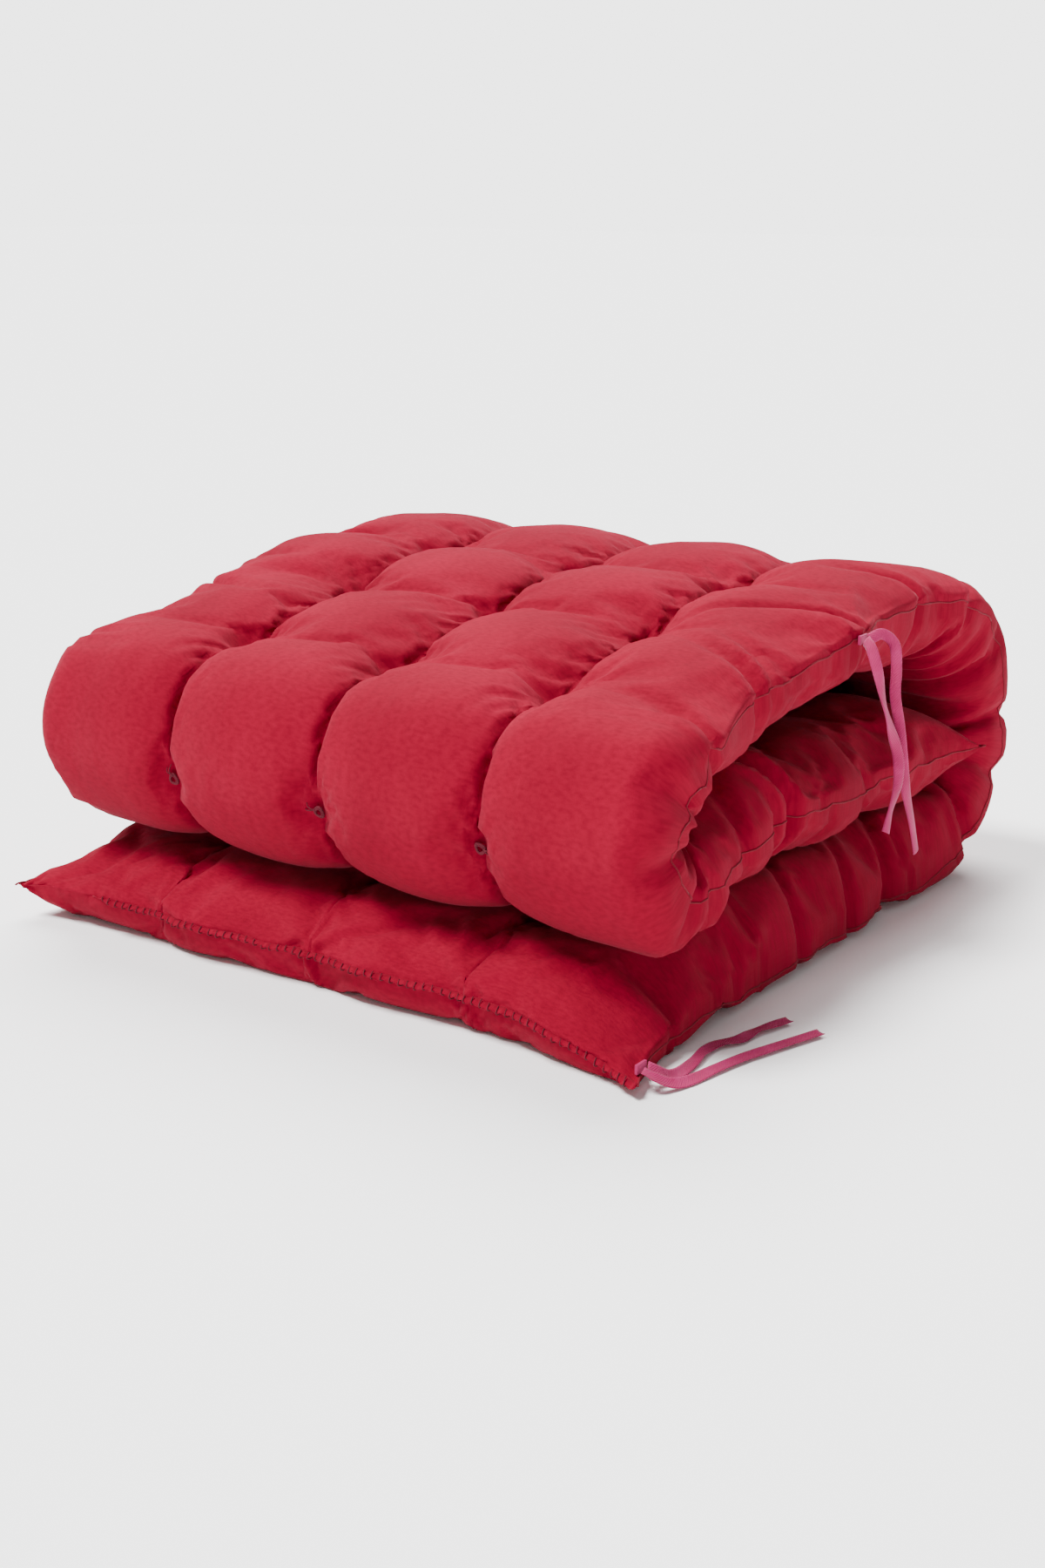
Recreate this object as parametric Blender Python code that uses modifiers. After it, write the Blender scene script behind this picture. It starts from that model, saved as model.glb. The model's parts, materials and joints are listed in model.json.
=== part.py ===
"""Tufted cotton floor mattress, folded in three layers.

The mattress is one long pad. From its free edge at the front it runs back along the
floor (base), curls up and over at the back (back_1 to back_3), runs forward on top
(top), curls down at the front (front_1 to front_3) and runs back inside (inner).
Each length is a cotton cover of two panels round a cotton batting, and neighbouring
lengths hinge on the pad's mid-thickness line. Metres, +Z up, the front towards -Y.
"""

import math

import bmesh
import bpy
from mathutils import Matrix, Vector

# Driving dimensions
WIDTH = 0.700
DEPTH = 0.740
HEIGHT = 0.335
THICKNESS = 0.092
LAYER_GAP = 0.003          # between the base and the layer resting on it
ROLL_SETBACK = 0.020       # the front curl stands this far behind the base's free edge
INNER_END_GAP = 0.004      # between the inner layer's end and the back curl
EDGE_RADIUS = 0.024
CLOTH = 0.002
GAP = 0.0003               # between pieces that touch

FOLD_STEP = math.radians(45.0)
STEPS_IN_CURL = 4

TUFT_COLUMNS = (-0.175, 0.0, 0.175)
TUFT_THREAD_RADIUS = 0.0012
TUFT_HOLE_RADIUS = 0.0020
TUFT_KNOT_RADIUS = 0.0050
TUFT_KNOT_HEIGHT = 0.0020
# Distance of each row of tufts from its length's own front hinge or end
TUFT_ROWS = {
    "back_1": (0.032,),
    "back_2": (0.062,),
    "top": (0.045, 0.182, 0.329, 0.476),
    "front_2": (0.037,),
}

TAPE_RADIUS = 0.003
TACK_SIZE = (0.0024, 0.014, 0.008)
# Routes of the tape ties, chosen by hand, each from its tack to its free end
SIDE_TACK = Vector((0.0, 0.001, 0.297))
CORNER_TACK = Vector((0.0, -0.360, 0.018))
TIE_ROUTES = {
    "side_tie_tail_1": (
        (0.3560, -0.002, 0.297), (0.3655, -0.009, 0.291), (0.3740, -0.012, 0.272),
        (0.3780, -0.007, 0.247), (0.3800, 0.007, 0.218), (0.3820, 0.021, 0.190),
        (0.3830, 0.022, 0.165), (0.3840, 0.007, 0.142), (0.3850, -0.003, 0.124),
    ),
    "side_tie_tail_2": (
        (0.3560, 0.005, 0.297), (0.3640, 0.014, 0.301), (0.3730, 0.021, 0.291),
        (0.3770, 0.019, 0.270), (0.3790, 0.015, 0.247), (0.3810, 0.023, 0.218),
        (0.3820, 0.030, 0.190), (0.3840, 0.037, 0.155), (0.3855, 0.051, 0.120),
        (0.3860, 0.063, 0.088),
    ),
    "corner_tie_tail_1": (
        (0.3560, -0.3555, 0.018), (0.3615, -0.348, 0.013), (0.3645, -0.336, 0.006),
        (0.3655, -0.321, 0.0036), (0.3640, -0.300, 0.0036), (0.3600, -0.277, 0.0036),
        (0.3620, -0.255, 0.0036), (0.3720, -0.237, 0.0036), (0.3740, -0.215, 0.0036),
        (0.3800, -0.195, 0.0036), (0.3860, -0.177, 0.0036),
    ),
    "corner_tie_tail_2": (
        (0.3560, -0.364, 0.018), (0.3660, -0.360, 0.013), (0.3740, -0.348, 0.006),
        (0.3800, -0.330, 0.0036), (0.3850, -0.300, 0.0036), (0.3920, -0.269, 0.0036),
        (0.4010, -0.241, 0.0036), (0.4100, -0.214, 0.0036), (0.4200, -0.185, 0.0036),
    ),
}
ROUTE_SPACING = 0.012

# Derived sizes
HALF = THICKNESS / 2
TUFT_PROUD = GAP + TUFT_KNOT_HEIGHT
TAPER = math.tan(FOLD_STEP / 2)
END_CLEARANCE = GAP / 2 / math.cos(FOLD_STEP / 2)
# Height and reach of a curl's mid line, in lengths of one of its steps
CURL_HEIGHT = sum(math.sin(FOLD_STEP * k) for k in range(1, STEPS_IN_CURL))
CURL_REACH = math.cos(FOLD_STEP)

BASE_MID = HALF
INNER_MID = THICKNESS + LAYER_GAP + HALF
TOP_MID = HEIGHT - TUFT_PROUD - HALF
BACK_STEP = (TOP_MID - BASE_MID) / CURL_HEIGHT
FRONT_STEP = (TOP_MID - INNER_MID) / CURL_HEIGHT

FREE_EDGE_Y = -DEPTH / 2
BACK_HINGE_Y = DEPTH / 2 - TUFT_PROUD - HALF - CURL_REACH * BACK_STEP
FRONT_HINGE_Y = FREE_EDGE_Y + ROLL_SETBACK + HALF + CURL_REACH * FRONT_STEP
INNER_END_Y = BACK_HINGE_Y - HALF * TAPER - INNER_END_GAP

LENGTHS = (
    ("base", BACK_HINGE_Y - FREE_EDGE_Y),
    ("back_1", BACK_STEP),
    ("back_2", BACK_STEP),
    ("back_3", BACK_STEP),
    ("top", BACK_HINGE_Y - FRONT_HINGE_Y),
    ("front_1", FRONT_STEP),
    ("front_2", FRONT_STEP),
    ("front_3", FRONT_STEP),
    ("inner", INNER_END_Y - FRONT_HINGE_Y),
)

RED = (0.62, 0.035, 0.065, 1.0)
DEEP_RED = (0.50, 0.020, 0.045, 1.0)
COTTON = (0.86, 0.83, 0.76, 1.0)
THREAD = (0.20, 0.008, 0.025, 1.0)
PINK = (0.64, 0.11, 0.30, 1.0)


def make_collection(name):
    collection = bpy.data.collections.new(name)
    bpy.context.scene.collection.children.link(collection)
    return collection


def make_material(name, colour, roughness):
    material = bpy.data.materials.new(name)
    material.use_nodes = True
    shader = material.node_tree.nodes["Principled BSDF"]
    shader.inputs["Base Color"].default_value = colour
    shader.inputs["Roughness"].default_value = roughness
    shader.inputs["Metallic"].default_value = 0.0
    material.diffuse_color = colour
    return material


def add_part(name, data, collection, parent, colour, roughness=0.9):
    """Link a new object for mesh or curve data, as a child of its length's hinge."""
    part = bpy.data.objects.new(name, data)
    collection.objects.link(part)
    part.parent = parent
    data.materials.append(make_material(name, colour, roughness))
    return part


def start_y(z, free, inset):
    """Where a length starts at height z over its mid line: square outside, tapered inside."""
    return inset if free else END_CLEARANCE + max(0.0, z) * TAPER


def end_y(z, length, free, inset):
    return length - inset if free else length - END_CLEARANCE - max(0.0, z) * TAPER


def half_section(inset):
    """Points of one rounded half of the pad's section, from mid line to mid line."""
    side = WIDTH / 2 - inset
    face = HALF - inset
    radius = EDGE_RADIUS - inset
    points = [(-side, 0.0)]
    for corner, first_angle in ((-1, math.pi), (1, math.pi / 2)):
        centre_x = corner * (side - radius)
        for k in range(4):
            angle = first_angle - k * math.pi / 6
            x = centre_x + radius * math.cos(angle)
            z = face - radius + radius * math.sin(angle)
            points.append((x, z))
    points.append((side, 0.0))
    return points


def place_ends(ring_start, ring_end, length, free_start, free_end, inset):
    for vert in ring_start:
        vert.co.y = start_y(vert.co.z, free_start, inset)
    for vert in ring_end:
        vert.co.y = end_y(vert.co.z, length, free_end, inset)


def face_outwards(mesh, side):
    """Turn a panel's faces so that the broad face looks away from the mid line."""
    bmesh.ops.recalc_face_normals(mesh, faces=mesh.faces)
    broad = max(mesh.faces, key=lambda face: face.calc_area())
    if broad.normal.z * side < 0:
        bmesh.ops.reverse_faces(mesh, faces=mesh.faces)


def panel_mesh(name, side, length, free_start, free_end):
    """One panel of the cover: the broad face and half of each side wall, on one side
    of the mid line (side 1 inside the fold, -1 outside), with a wall at a free end."""
    mesh = bmesh.new()
    seam = GAP / 2
    start = []
    for x, z in half_section(0.0):
        start.append(mesh.verts.new((x, 0.0, side * max(z, seam))))
    edges = [mesh.edges.new(pair) for pair in zip(start, start[1:])]
    swept = bmesh.ops.extrude_edge_only(mesh, edges=edges)["geom"]
    end = [item for item in swept if isinstance(item, bmesh.types.BMVert)]
    place_ends(start, end, length, free_start, free_end, 0.0)
    mesh.verts.ensure_lookup_table()
    if free_start:
        mesh.faces.new(start)
    if free_end:
        mesh.faces.new(sorted(end, key=lambda vert: math.atan2(vert.co.z * side, vert.co.x)))
    face_outwards(mesh, side)
    data = bpy.data.meshes.new(name)
    mesh.to_mesh(data)
    mesh.free()
    return data


def batting_mesh(name, length, free_start, free_end):
    """The filling: the whole rounded section, a little smaller than the cover."""
    mesh = bmesh.new()
    inset = CLOTH + GAP
    upper = [mesh.verts.new((x, 0.0, z)) for x, z in half_section(inset)]
    lower = [mesh.verts.new((x, 0.0, -z)) for x, z in half_section(inset)[1:-1]]
    faces = [mesh.faces.new(upper), mesh.faces.new([upper[0], *lower, upper[-1]])]
    swept = bmesh.ops.extrude_face_region(mesh, geom=faces, use_keep_orig=True)["geom"]
    end = [item for item in swept if isinstance(item, bmesh.types.BMVert)]
    place_ends(upper + lower, end, length, free_start, free_end, inset)
    bmesh.ops.recalc_face_normals(mesh, faces=mesh.faces)
    data = bpy.data.meshes.new(name)
    mesh.to_mesh(data)
    mesh.free()
    return data


def add_thickness(part):
    modifier = part.modifiers.new("cloth", "SOLIDIFY")
    modifier.thickness = CLOTH
    modifier.offset = -1.0
    modifier.use_even_offset = True


def hole_cutter(name, rows, cutters, parent):
    """Straight needle holes through the whole pad, one for each tuft of a length."""
    mesh = bmesh.new()
    for row in rows:
        for column in TUFT_COLUMNS:
            bmesh.ops.create_cone(
                mesh, cap_ends=True, segments=6, radius1=TUFT_HOLE_RADIUS,
                radius2=TUFT_HOLE_RADIUS, depth=THICKNESS * 1.2,
                matrix=Matrix.Translation((column, row, 0.0)),
            )
    data = bpy.data.meshes.new(name)
    mesh.to_mesh(data)
    mesh.free()
    cutter = bpy.data.objects.new(name, data)
    cutters.objects.link(cutter)
    cutter.parent = parent
    cutter.hide_render = True
    cutter.display_type = "WIRE"
    return cutter


def cut_holes(part, cutter):
    modifier = part.modifiers.new("needle_holes", "BOOLEAN")
    modifier.operation = "DIFFERENCE"
    modifier.solver = "EXACT"
    modifier.object = cutter


def tuft_profile():
    """Half outline of a tuft: a knot on each face and the thread between them."""
    mesh = bmesh.new()
    knot_top = HALF + TUFT_PROUD
    knot_foot = HALF + GAP
    outline = [
        (0.0, knot_top), (TUFT_KNOT_RADIUS, knot_top), (TUFT_KNOT_RADIUS, knot_foot),
        (TUFT_THREAD_RADIUS, knot_foot),
    ]
    outline += [(radius, -z) for radius, z in reversed(outline)]
    verts = [mesh.verts.new((radius, 0.0, z)) for radius, z in outline]
    for pair in zip(verts, verts[1:]):
        mesh.edges.new(pair)
    data = bpy.data.meshes.new("tuft")
    mesh.to_mesh(data)
    mesh.free()
    return data


def add_tuft(name, x, y, collection, parent):
    tuft = add_part(name, tuft_profile(), collection, parent, THREAD)
    tuft.location = (x, y, 0.0)
    modifier = tuft.modifiers.new("turn", "SCREW")
    modifier.axis = "Z"
    modifier.steps = 6
    modifier.render_steps = 6
    modifier.use_merge_vertices = True
    modifier.merge_threshold = 0.00001
    return tuft


def smooth_route(points, spacing):
    """Evenly spaced points on the Catmull-Rom curve through a route's own points."""
    knots = [Vector(point) for point in points]
    knots = [2 * knots[0] - knots[1], *knots, 2 * knots[-1] - knots[-2]]
    fine = []
    for a, b, c, d in zip(knots, knots[1:], knots[2:], knots[3:]):
        for k in range(12):
            t = k / 12
            fine.append(0.5 * (
                2 * b + (c - a) * t + (2 * a - 5 * b + 4 * c - d) * t ** 2
                + (3 * b - 3 * c + d - a) * t ** 3
            ))
    fine.append(knots[-2])
    total = sum((b - a).length for a, b in zip(fine, fine[1:]))
    count = max(2, round(total / spacing))
    even = [fine[0]]
    travelled = 0.0
    for a, b in zip(fine, fine[1:]):
        travelled += (b - a).length
        if travelled >= total * len(even) / count and len(even) < count:
            even.append(b)
    even.append(fine[-1])
    return even


def add_tie_tail(name, route, collection, parent):
    """One tail of a tape tie, as the plain tube that it fills when it lies loose."""
    curve = bpy.data.curves.new(name, "CURVE")
    curve.dimensions = "3D"
    curve.bevel_depth = TAPE_RADIUS
    curve.bevel_resolution = 2
    curve.use_fill_caps = True
    points = smooth_route(route, ROUTE_SPACING)
    spline = curve.splines.new("POLY")
    spline.points.add(len(points) - 1)
    for target, point in zip(spline.points, points):
        target.co = (*point, 1.0)
    tail = add_part(name, curve, collection, parent, PINK, 0.8)
    tail.matrix_parent_inverse = parent.matrix_world.inverted()
    return tail


def add_tack(name, place, collection, parent):
    """The folded end of a tie, sewn flat on the side seam."""
    mesh = bmesh.new()
    bmesh.ops.create_cube(mesh, size=1.0, matrix=Matrix.Diagonal((*TACK_SIZE, 1.0)))
    data = bpy.data.meshes.new(name)
    mesh.to_mesh(data)
    mesh.free()
    tack = add_part(name, data, collection, parent, PINK, 0.8)
    tack.matrix_parent_inverse = parent.matrix_world.inverted()
    tack.location = (WIDTH / 2 + GAP + TACK_SIZE[0] / 2, place.y, place.z)
    return tack


def add_hinge(name, collection, parent, offset):
    """An empty on a length's front hinge; its local Y runs along the length."""
    hinge = bpy.data.objects.new(name + "_hinge", None)
    collection.objects.link(hinge)
    hinge.empty_display_size = 0.05
    if parent is None:
        hinge.location = (0.0, FREE_EDGE_Y, BASE_MID)
    else:
        hinge.parent = parent
        hinge.location = (0.0, offset, 0.0)
        hinge.rotation_euler = (FOLD_STEP, 0.0, 0.0)
    return hinge


def add_length(name, length, collection, cutters, hinge):
    """Cover panels, batting and tufts of one length of the mattress."""
    free_start = name == "base"
    free_end = name == "inner"
    outer = panel_mesh(name + "_cover_outer", -1, length, free_start, free_end)
    inner = panel_mesh(name + "_cover_inner", 1, length, free_start, free_end)
    batting = batting_mesh(name + "_batting", length, free_start, free_end)
    pieces = [
        add_part(outer.name, outer, collection, hinge, RED),
        add_part(inner.name, inner, collection, hinge, DEEP_RED),
        add_part(batting.name, batting, collection, hinge, COTTON),
    ]
    add_thickness(pieces[0])
    add_thickness(pieces[1])
    rows = TUFT_ROWS.get(name, ())
    if not rows:
        return
    cutter = hole_cutter(name + "_needle_holes", rows, cutters, hinge)
    for piece in pieces:
        cut_holes(piece, cutter)
    for row_number, row in enumerate(rows, start=1):
        for column_number, column in enumerate(TUFT_COLUMNS, start=1):
            tuft_name = f"{name}_tuft_{row_number}_{column_number}"
            add_tuft(tuft_name, column, row, collection, hinge)


def main():
    for leftover in list(bpy.data.objects):
        bpy.data.objects.remove(leftover, do_unlink=True)
    parts = make_collection("folded_futon_mattress")
    cutters = make_collection("cutters")

    hinges = {}
    hinge = None
    offset = 0.0
    for name, length in LENGTHS:
        hinge = add_hinge(name, parts, hinge, offset)
        hinges[name] = hinge
        offset = length
        add_length(name, length, parts, cutters, hinge)
    bpy.context.view_layer.update()

    add_tack("side_tie_tack", SIDE_TACK, parts, hinges["top"])
    add_tack("corner_tie_tack", CORNER_TACK, parts, hinges["base"])
    for name, route in TIE_ROUTES.items():
        body = "top" if name.startswith("side") else "base"
        add_tie_tail(name, route, parts, hinges[body])


main()
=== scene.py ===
"""Looks of the folded futon mattress: a tufted red cotton pad with pink tape ties.

The pad is one surface worked out in cloth coordinates: s runs along the pad's mid line from
the free edge on the floor, x runs across it. The surface is then cut between the hinges into
pieces, each running from the middle of one CAD body to the middle of the next.
"""

import json
import math

import bpy
import numpy as np
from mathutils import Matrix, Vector


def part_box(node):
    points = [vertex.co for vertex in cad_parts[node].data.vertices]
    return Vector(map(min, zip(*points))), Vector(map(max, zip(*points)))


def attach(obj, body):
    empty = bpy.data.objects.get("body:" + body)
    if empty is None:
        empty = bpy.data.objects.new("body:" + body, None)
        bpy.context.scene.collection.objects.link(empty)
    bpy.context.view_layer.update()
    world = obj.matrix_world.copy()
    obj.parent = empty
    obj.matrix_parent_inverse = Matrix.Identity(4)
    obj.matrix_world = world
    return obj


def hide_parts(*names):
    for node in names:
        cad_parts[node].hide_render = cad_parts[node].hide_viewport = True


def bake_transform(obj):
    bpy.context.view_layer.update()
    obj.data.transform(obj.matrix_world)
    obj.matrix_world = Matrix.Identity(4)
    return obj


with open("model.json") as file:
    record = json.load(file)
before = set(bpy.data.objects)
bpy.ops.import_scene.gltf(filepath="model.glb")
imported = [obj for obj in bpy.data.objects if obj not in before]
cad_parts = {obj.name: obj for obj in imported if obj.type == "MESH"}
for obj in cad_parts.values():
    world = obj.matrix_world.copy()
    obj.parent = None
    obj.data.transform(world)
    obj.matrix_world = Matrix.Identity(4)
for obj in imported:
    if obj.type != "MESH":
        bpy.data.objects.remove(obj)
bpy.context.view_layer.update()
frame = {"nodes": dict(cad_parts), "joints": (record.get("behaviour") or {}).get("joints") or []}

# ---------------------------------------------------------------- sizes from the frame
JOINTS = {joint["name"]: joint for joint in frame["joints"]}
BODIES = ("base", "back_1", "back_2", "back_3", "top", "front_1", "front_2", "front_3", "inner")
FOLDS = tuple(f"{curl}_fold{tail}" for curl in ("back", "front") for tail in ("", "_2", "_3", "_4"))


def hinge(name):
    """The place of a joint."""
    return Vector(JOINTS[name]["pos_m"])


HALF_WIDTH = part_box("base_cover_outer")[1][0]
FRONT_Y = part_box("base_cover_outer")[0][1]
BASE_MID = hinge("back_fold").z
TOP_MID = hinge("back_fold_4").z
INNER_MID = hinge("front_fold_4").z
BACK_RADIUS = (TOP_MID - BASE_MID) / 2
FRONT_RADIUS = (TOP_MID - INNER_MID) / 2
BACK_CENTRE_Y = hinge("back_fold_2").y - BACK_RADIUS
FRONT_CENTRE_Y = hinge("front_fold_2").y + FRONT_RADIUS
INNER_END_Y = 0.252        # the inner length's free end, inside the back curl
BASE_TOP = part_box("base_cover_inner")[1][2]
CONTACT = (BASE_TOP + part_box("inner_cover_outer")[0][2]) / 2

# Places along the mid line where its straight runs and curls meet
S_BACK = BACK_CENTRE_Y - FRONT_Y
S_TOP = S_BACK + math.pi * BACK_RADIUS
S_FRONT = S_TOP + BACK_CENTRE_Y - FRONT_CENTRE_Y
S_INNER = S_FRONT + math.pi * FRONT_RADIUS
S_END = S_INNER + INNER_END_Y - FRONT_CENTRE_Y


def s_back(degrees):
    return S_BACK + BACK_RADIUS * math.radians(degrees)


def s_front(degrees):
    return S_FRONT + FRONT_RADIUS * math.radians(degrees)


def s_top(y):
    return S_TOP + BACK_CENTRE_Y - y


def s_inner(y):
    return S_INNER + y - FRONT_CENTRE_Y


# Each zone runs from the middle of one body to the middle of the next
CUTS = (
    0.0, s_back(45), s_back(90), s_back(135), (S_TOP + S_FRONT) / 2,
    s_front(45), s_front(90), s_front(135), S_END,
)
TUFT_COLUMNS = (-HALF_WIDTH / 2, 0.0, HALF_WIDTH / 2)
FRONT_TUFTS = s_front(111)  # the row on the front of the roll, which is tied less tightly
# All the rows in order: three on the base, three round the back, three on top, one on the
# front and three on the inner length
TUFT_ROWS = (
    0.170, 0.318, 0.466, s_back(36), s_back(96), s_back(166), s_top(0.067), s_top(-0.074),
    s_top(-0.226), FRONT_TUFTS, s_inner(-0.195), s_inner(-0.048), s_inner(0.099),
)

CROWN = 0.051              # half thickness in the middle of a pillow
TOP_CROWN = 0.037          # less on the upper side, where the pad sags between its seams
NOSE_CROWN = 0.045         # and round the front curl
TUFTED = 0.012             # half thickness at a tuft
TOP_TUFTED = 0.003         # the same on the upper side
EDGE_ROUND = 0.060         # how far the sides round in from the seam
FRONT_ROUND = 0.190        # the base's free edge thins out over this length
END_ROUND = 0.110          # and the inner length's free end over this one
NOSE_DROP = 0.040          # how far the top slopes down to the front curl
SEAM_HEIGHT = 0.012        # the side seam of the base lies nearly on the floor
CELL = 0.0068              # spacing of the surface's points along the pad
PILLOW_POINTS = 30         # and their number across one pillow
SIM_FRAMES = 16            # length of the cloth simulation
HOLD = 0.02                # how firmly the filling holds the cloth in its place
CLOTH_EXCESS = 0.05        # the share by which the cover is larger than its filling
MAX_SHIFT = 0.012          # the furthest that the cloth may move off its place
TUFT_RADIUS = 0.0050       # of the ring of thread
REST_GAP = 0.0008          # kept on each side between the base and the roll that rests on it
TIE_Y = 0.001              # the side tie is sewn to the top layer's seam here
LIP_START = -0.27          # the closure runs from here to the right corner

# Deep folds that start at a side seam: place, side of the pad (1 right, -1 left), face
# (1 inside the fold, -1 outside), depth, half width, length and slant
PINCHES = (
    (s_top(-0.150), 1, -1, 0.011, 0.008, 0.080, -0.35), (s_top(-0.128), 1, -1, 0.006, 0.006, 0.060, -0.50),
    (s_top(0.020), 1, -1, 0.005, 0.007, 0.070, 0.45), (s_top(0.150), 1, -1, 0.010, 0.008, 0.065, 0.10),
    (s_back(158), 1, -1, 0.007, 0.008, 0.050, -0.10), (s_back(120), 1, 1, 0.008, 0.011, 0.075, 0.20),
    (s_back(86), 1, 1, 0.011, 0.010, 0.080, -0.30), (s_back(60), 1, 1, 0.009, 0.010, 0.070, 0.25),
    (s_back(28), 1, 1, 0.011, 0.009, 0.070, 0.40), (0.485, 1, 1, 0.012, 0.009, 0.075, 0.35),
    (0.398, 1, 1, 0.009, 0.008, 0.055, 0.40), (0.300, 1, 1, 0.006, 0.008, 0.050, 0.25),
    (s_front(18), 1, -1, 0.009, 0.007, 0.055, -0.30), (s_front(62), 1, 1, 0.009, 0.008, 0.060, 0.20),
    (s_front(105), 1, 1, 0.011, 0.008, 0.065, -0.15), (s_front(150), 1, 1, 0.011, 0.008, 0.060, 0.20),
    (s_inner(-0.178), 1, 1, 0.009, 0.008, 0.060, 0.30), (s_inner(-0.088), 1, 1, 0.026, 0.009, 0.075, -0.50),
    (s_inner(-0.120), 1, -1, 0.010, 0.008, 0.050, 0.10), (s_front(170), 1, -1, 0.009, 0.008, 0.050, -0.20),
    (s_top(-0.110), -1, -1, 0.009, 0.008, 0.070, 0.30), (s_top(0.055), -1, -1, 0.008, 0.008, 0.060, -0.25),
    (s_back(140), -1, -1, 0.008, 0.009, 0.060, 0.20), (s_back(75), -1, 1, 0.010, 0.010, 0.075, 0.25),
    (s_back(35), -1, 1, 0.009, 0.009, 0.065, -0.30), (0.430, -1, 1, 0.009, 0.009, 0.065, 0.30),
    (0.260, -1, 1, 0.007, 0.008, 0.055, -0.30), (s_front(40), -1, 1, 0.009, 0.008, 0.060, -0.20),
    (s_front(120), -1, 1, 0.010, 0.009, 0.060, 0.20), (s_inner(-0.060), -1, 1, 0.010, 0.009, 0.060, 0.30),
)


# ---------------------------------------------------------------- small numeric helpers
def noise_1d(position, seed):
    """Smooth random curve between -1 and 1 that changes over about one unit."""
    values = np.random.default_rng(seed).uniform(-1, 1, 4096)
    cell = np.floor(position).astype(int)
    t = position - cell
    t = t * t * (3 - 2 * t)
    return values[cell % 4096] * (1 - t) + values[(cell + 1) % 4096] * t


def noise_2d(a, b, seed):
    """Smooth random field between -1 and 1 that changes over about one unit."""
    values = np.random.default_rng(seed).uniform(-1, 1, (256, 256))
    i, j = np.floor(a).astype(int), np.floor(b).astype(int)
    u, v = a - i, b - j
    u, v = u * u * (3 - 2 * u), v * v * (3 - 2 * v)
    low = values[i % 256, j % 256] * (1 - u) + values[(i + 1) % 256, j % 256] * u
    high = values[i % 256, (j + 1) % 256] * (1 - u) + values[(i + 1) % 256, (j + 1) % 256] * u
    return low * (1 - v) + high * v


def smooth_step(value, low, high):
    t = np.clip((value - low) / (high - low), 0, 1)
    return t * t * (3 - 2 * t)


def between(value, low, high, margin):
    """1 from low to high, falling to 0 over margin outside."""
    return smooth_step(value, low - margin, low) * (1 - smooth_step(value, high, high + margin))


def bump(value, centre, width):
    return np.exp(-((value - centre) / width) ** 2)


def soft_floor(value, floor, softness):
    """value where it is well above floor, and never below it."""
    return floor + softness * np.logaddexp(0, (value - floor) / softness)


def soft_ceiling(value, ceiling, softness):
    return -soft_floor(-value, -ceiling, softness)


# ---------------------------------------------------------------- the pad's surface
def mid_place(s):
    """y and z of the mid line at s: two curls, the top sloping down to the front one."""
    back = np.clip((s - S_BACK) / BACK_RADIUS, 0, math.pi)
    front = np.clip((s - S_FRONT) / FRONT_RADIUS, 0, math.pi)
    y = FRONT_Y + np.minimum(s, S_BACK) + BACK_RADIUS * np.sin(back) * (1 + 0.10 * np.cos(back))
    y = y - np.clip(s - S_TOP, 0, S_FRONT - S_TOP)
    y = y - 1.04 * FRONT_RADIUS * np.sin(front) * (1 - 0.18 * np.cos(front))
    y = y + np.maximum(s - S_INNER, 0)
    z = BASE_MID + BACK_RADIUS * (1 - np.cos(back)) - FRONT_RADIUS * (1 - np.cos(front))
    slope = smooth_step(s, s_top(0.03), s_top(-0.27))
    z = z - NOSE_DROP * slope * (1 + np.cos(front)) / 2
    z = z + 0.005 * bump(s, s_top(0.09), 0.07)
    z = z - 0.018 * bump(s, S_INNER - 0.03, 0.06) + 0.010 * bump(s, s_inner(-0.10), 0.08)
    return y, z


def mid_line(s):
    """y, z and the unit tangent of the mid line at s."""
    step = 1e-4
    (y0, z0), (y1, z1) = mid_place(s - step), mid_place(s + step)
    tangent = np.stack([y1 - y0, z1 - z0], -1)
    y, z = mid_place(s)
    return y, z, tangent / np.linalg.norm(tangent, axis=-1, keepdims=True)


def curl_amounts(s):
    """1 inside the back and the front curl and 0 on a straight run."""
    back = between(s, S_BACK + 0.05, S_TOP - 0.05, 0.08)
    front = between(s, S_FRONT + 0.02, S_INNER - 0.02, 0.06)
    return back, front


def edge_profile(distance, radius, power=0.5):
    """Height of a rounded edge, from 0 at the seam to 1 at radius from it."""
    return np.clip(1 - (1 - np.clip(distance / radius, 0, 1)) ** 2, 0, 1) ** power


def tuft_distances(s, x):
    """How far points are from the nearest column and from the nearest row of tufts."""
    columns = np.min([np.abs(x - column) for column in TUFT_COLUMNS], axis=0)
    rows = np.min([np.abs(s - row) for row in TUFT_ROWS], axis=0)
    return columns, rows


def pillow(s, columns):
    """How full the pad is at a point: 0 at a tuft, 1 in the middle of a pillow."""
    half_column = (TUFT_COLUMNS[1] - TUFT_COLUMNS[0]) / 2
    marks = np.array([-0.05, *TUFT_ROWS, S_END + 0.05])
    index = np.clip(np.searchsorted(marks, s) - 1, 0, len(marks) - 2)
    low, high = marks[index], marks[index + 1]
    row_share = np.clip(np.minimum(s - low, high - s) / ((high - low) / 2), 0, 1)
    column_share = np.clip(columns / half_column, 0, 1)
    across = (1 - (1 - column_share) ** 2.2) ** 0.55
    along = (0.5 - 0.5 * np.cos(math.pi * row_share)) ** 0.75
    valley = 0.76 + 0.24 * along
    crease = 0.36 * along * (1 - across)
    return across * valley + crease


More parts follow.
